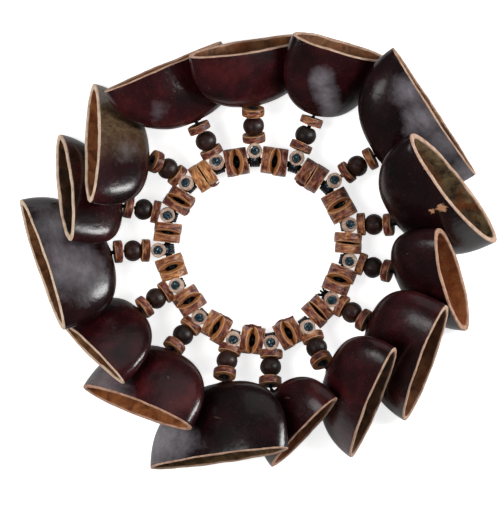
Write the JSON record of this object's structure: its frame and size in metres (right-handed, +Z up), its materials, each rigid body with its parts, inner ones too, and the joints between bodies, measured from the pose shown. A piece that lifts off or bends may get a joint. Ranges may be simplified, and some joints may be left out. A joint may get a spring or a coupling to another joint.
{
  "type": "nutshell shaker bracelet",
  "caption": "Shaker bracelet: a beaded ring cord with short beaded strands, each ending in an overlapping half nutshell that rattles.",
  "frame": {"origin": "centre of the footprint of the bracelet's box, on the surface it lies on", "axes": "+Z up through the lying ring, +X and +Y across it, +Y towards the top of the picture"},
  "size_m": [0.18, 0.1646, 0.0379],
  "materials": {
    "ring_cord_and_discs": "satin",
    "strand_cord": "matte",
    "dark_wood": "satin",
    "nutshell": "gloss"
  },
  "bodies": {
    "bracelet": {"ring_cord": "ring_cord_and_discs", "strand_cord_01": "strand_cord", "strand_cord_02": "strand_cord", "strand_cord_03": "strand_cord", "strand_cord_04": "strand_cord", "strand_cord_05": "strand_cord", "strand_cord_06": "strand_cord", "strand_cord_07": "strand_cord", "strand_cord_08": "strand_cord", "strand_cord_09": "strand_cord", "strand_cord_10": "strand_cord", "strand_cord_11": "strand_cord", "strand_cord_12": "strand_cord", "strand_cord_13": "strand_cord", "strand_cord_14": "strand_cord", "strand_cord_15": "strand_cord", "round_bead_01": "dark_wood", "round_bead_02": "dark_wood", "round_bead_03": "dark_wood", "round_bead_04": "dark_wood", "round_bead_05": "dark_wood", "round_bead_06": "dark_wood", "round_bead_07": "dark_wood", "round_bead_08": "dark_wood", "round_bead_09": "dark_wood", "round_bead_10": "dark_wood", "round_bead_11": "dark_wood", "round_bead_12": "dark_wood", "round_bead_13": "dark_wood", "round_bead_14": "dark_wood", "round_bead_15": "dark_wood"},
    "shell_01": {"nutshell_01": "nutshell"},
    "shell_02": {"nutshell_02": "nutshell"},
    "shell_03": {"nutshell_03": "nutshell"},
    "shell_04": {"nutshell_04": "nutshell"},
    "shell_05": {"nutshell_05": "nutshell"},
    "shell_06": {"nutshell_06": "nutshell"},
    "shell_07": {"nutshell_07": "nutshell"},
    "shell_08": {"nutshell_08": "nutshell"},
    "shell_09": {"nutshell_09": "nutshell"},
    "shell_10": {"nutshell_10": "nutshell"},
    "shell_11": {"nutshell_11": "nutshell"},
    "shell_12": {"nutshell_12": "nutshell"},
    "shell_13": {"nutshell_13": "nutshell"},
    "shell_14": {"nutshell_14": "nutshell"},
    "shell_15": {"nutshell_15": "nutshell"}
  },
  "joints": [
    {"name": "swivel_01", "type": "hinge", "parent": "bracelet", "child": "shell_01", "pos_m": [-0.00206, 0.0547, 0.01087], "axis": [-0.0337, 0.9653, 0.2588], "range_deg": [0, 45]},
    {"name": "swivel_02", "type": "hinge", "parent": "bracelet", "child": "shell_02", "pos_m": [0.02103, 0.05154, 0.00608], "axis": [0.3868, 0.8688, 0.309], "range_deg": [0, 45]},
    {"name": "swivel_03", "type": "hinge", "parent": "bracelet", "child": "shell_03", "pos_m": [0.04401, 0.03607, 0.00881], "axis": [0.8417, 0.526, 0.1219], "range_deg": [0, 45]},
    {"name": "swivel_04", "type": "hinge", "parent": "bracelet", "child": "shell_04", "pos_m": [0.05229, 0.01078, 0.0083], "axis": [0.8214, 0.383, 0.4226], "range_deg": [0, 25]},
    {"name": "swivel_05", "type": "hinge", "parent": "bracelet", "child": "shell_05", "pos_m": [0.0513, -0.00756, 0.00863], "axis": [0.9058, 0.0316, 0.4226], "range_deg": [0, 35]},
    {"name": "swivel_06", "type": "hinge", "parent": "bracelet", "child": "shell_06", "pos_m": [0.04143, -0.02656, 0.00908], "axis": [0.8397, -0.4465, 0.309], "range_deg": [0, 45]},
    {"name": "swivel_07", "type": "hinge", "parent": "bracelet", "child": "shell_07", "pos_m": [0.0259, -0.04368, 0.01347], "axis": [0.828, -0.4975, 0.2588], "range_deg": [0, 8]},
    {"name": "swivel_08", "type": "hinge", "parent": "bracelet", "child": "shell_08", "pos_m": [0.00549, -0.05263, 0.0092], "axis": [0.6106, -0.7541, 0.2419], "range_deg": [0, 25]},
    {"name": "swivel_09", "type": "hinge", "parent": "bracelet", "child": "shell_09", "pos_m": [-0.01275, -0.04878, 0.01243], "axis": [0.0685, -0.9792, 0.1908], "range_deg": [0, 45]},
    {"name": "swivel_10", "type": "hinge", "parent": "bracelet", "child": "shell_10", "pos_m": [-0.03273, -0.03724, 0.00963], "axis": [-0.4782, -0.8282, 0.2924], "range_deg": [0, 45]},
    {"name": "swivel_11", "type": "hinge", "parent": "bracelet", "child": "shell_11", "pos_m": [-0.04436, -0.02195, 0.0089], "axis": [-0.7708, -0.6022, 0.2079], "range_deg": [0, 45]},
    {"name": "swivel_12", "type": "hinge", "parent": "bracelet", "child": "shell_12", "pos_m": [-0.05527, -0.0004, 0.00757], "axis": [-0.9372, -0.2511, 0.2419], "range_deg": [0, 45]},
    {"name": "swivel_13", "type": "hinge", "parent": "bracelet", "child": "shell_13", "pos_m": [-0.05154, 0.01722, 0.00703], "axis": [-0.8996, 0.1105, 0.4226], "range_deg": [0, 20]},
    {"name": "swivel_14", "type": "hinge", "parent": "bracelet", "child": "shell_14", "pos_m": [-0.04115, 0.03468, 0.01087], "axis": [-0.9303, 0.1977, 0.309], "range_deg": [0, 10]},
    {"name": "swivel_15", "type": "hinge", "parent": "bracelet", "child": "shell_15", "pos_m": [-0.02326, 0.04879, 0.009], "axis": [-0.3726, 0.9221, 0.1045], "range_deg": [0, 45]}
  ]
}
